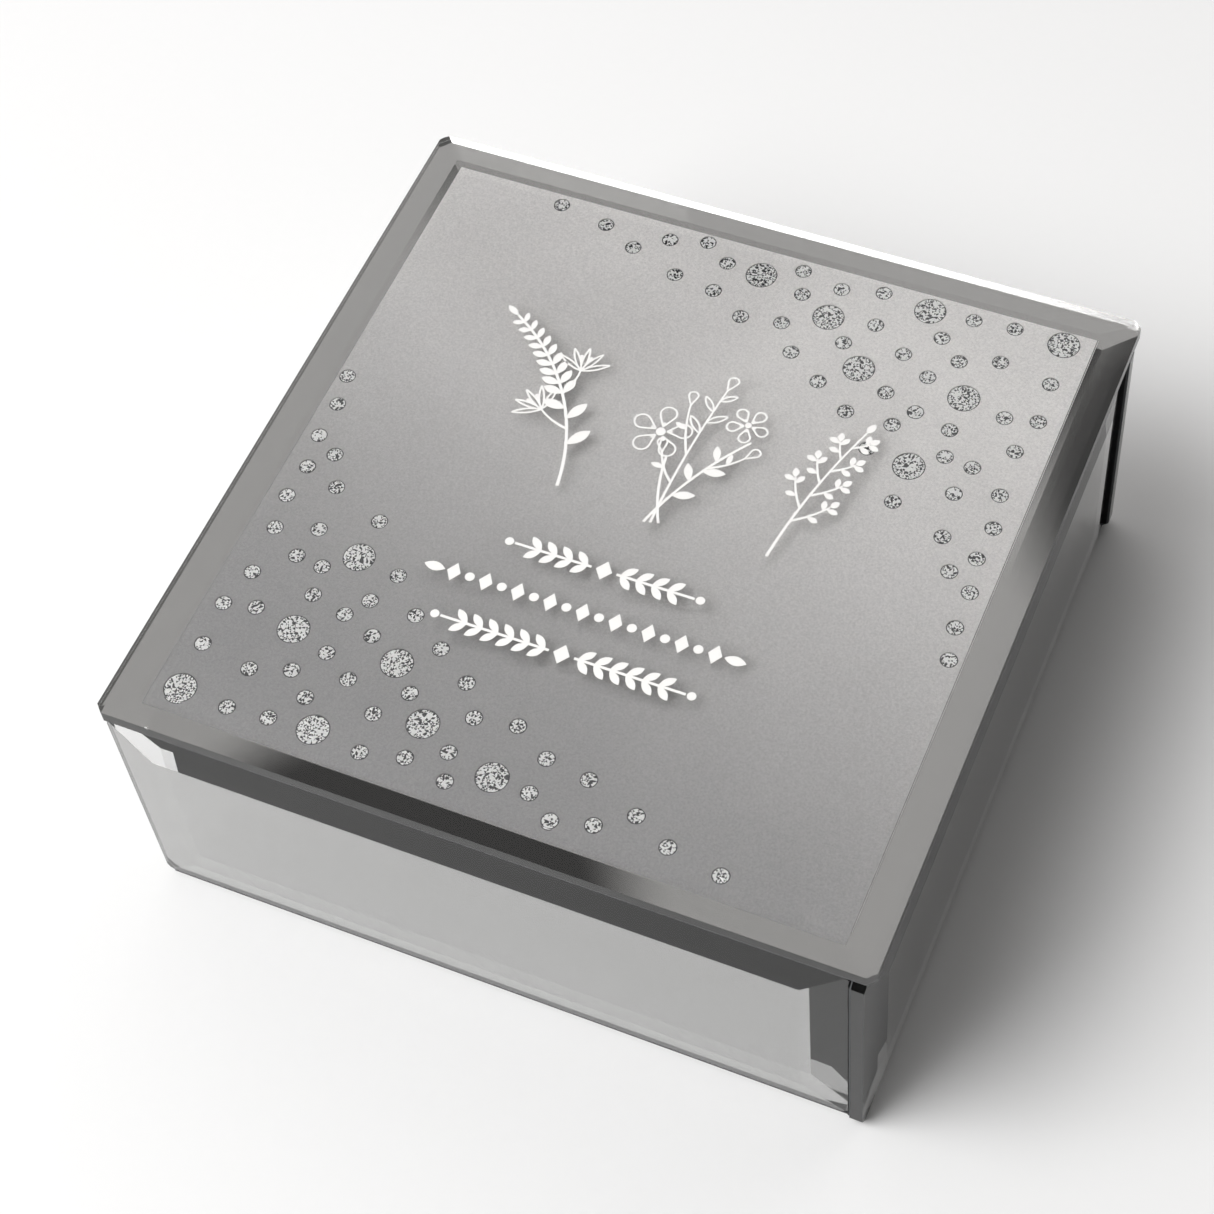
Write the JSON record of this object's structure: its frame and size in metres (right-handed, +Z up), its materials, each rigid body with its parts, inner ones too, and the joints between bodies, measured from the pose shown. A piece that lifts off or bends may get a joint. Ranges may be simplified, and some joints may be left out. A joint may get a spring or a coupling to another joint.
{
  "type": "vanity trinket box",
  "caption": "Square mirrored-glass trinket box with a bevelled, hinged lid, a satin decorated lid field and a velvet-lined tray.",
  "frame": {"origin": "under the middle of the closed lid, on the plane that the felt base rests on", "axes": "+Z up through the lid, +Y towards the hinges at the back, +X to the right when facing the front"},
  "size_m": [0.12, 0.12, 0.0513],
  "materials": {
    "clear_glass": "polished, bevelled",
    "mirror_silvering": "silvered face, grey backing paint",
    "black_adhesive": "matt",
    "base_board": "raw fibreboard",
    "base_felt": "felt",
    "black_velvet": "short pile velvet",
    "plated_steel": "nickel plate",
    "satin_print": "satin silver print",
    "glitter": "faceted silver glitter",
    "white_ink": "raised white ink"
  },
  "bodies": {
    "case": {"front_panel_glass": "clear_glass", "right_panel_glass": "clear_glass", "back_panel_glass": "clear_glass", "left_panel_glass": "clear_glass", "front_silvering": "mirror_silvering", "right_silvering": "mirror_silvering", "back_silvering": "mirror_silvering", "left_silvering": "mirror_silvering", "corner_adhesive": "black_adhesive", "base_board": "base_board", "base_felt": "base_felt", "floor_pad": "black_velvet", "front_liner": "black_velvet", "right_liner": "black_velvet", "back_liner": "black_velvet", "left_liner": "black_velvet", "hinge_left_case_leaf": "plated_steel", "hinge_right_case_leaf": "plated_steel", "hinge_left_pin": "plated_steel", "hinge_right_pin": "plated_steel"},
    "lid": {"lid_glass": "clear_glass", "lid_silvering": "mirror_silvering", "lid_satin_field": "satin_print", "lid_glitter_dots": "glitter", "lid_print": "white_ink", "lid_lining": "black_velvet", "hinge_left_lid_leaf": "plated_steel", "hinge_right_lid_leaf": "plated_steel"}
  },
  "joints": [
    {"name": "lid_hinge", "type": "hinge", "parent": "case", "child": "lid", "pos_m": [0, 0.0591, 0.04695], "axis": [-1, 0, 0], "range_deg": [0, 100]}
  ]
}
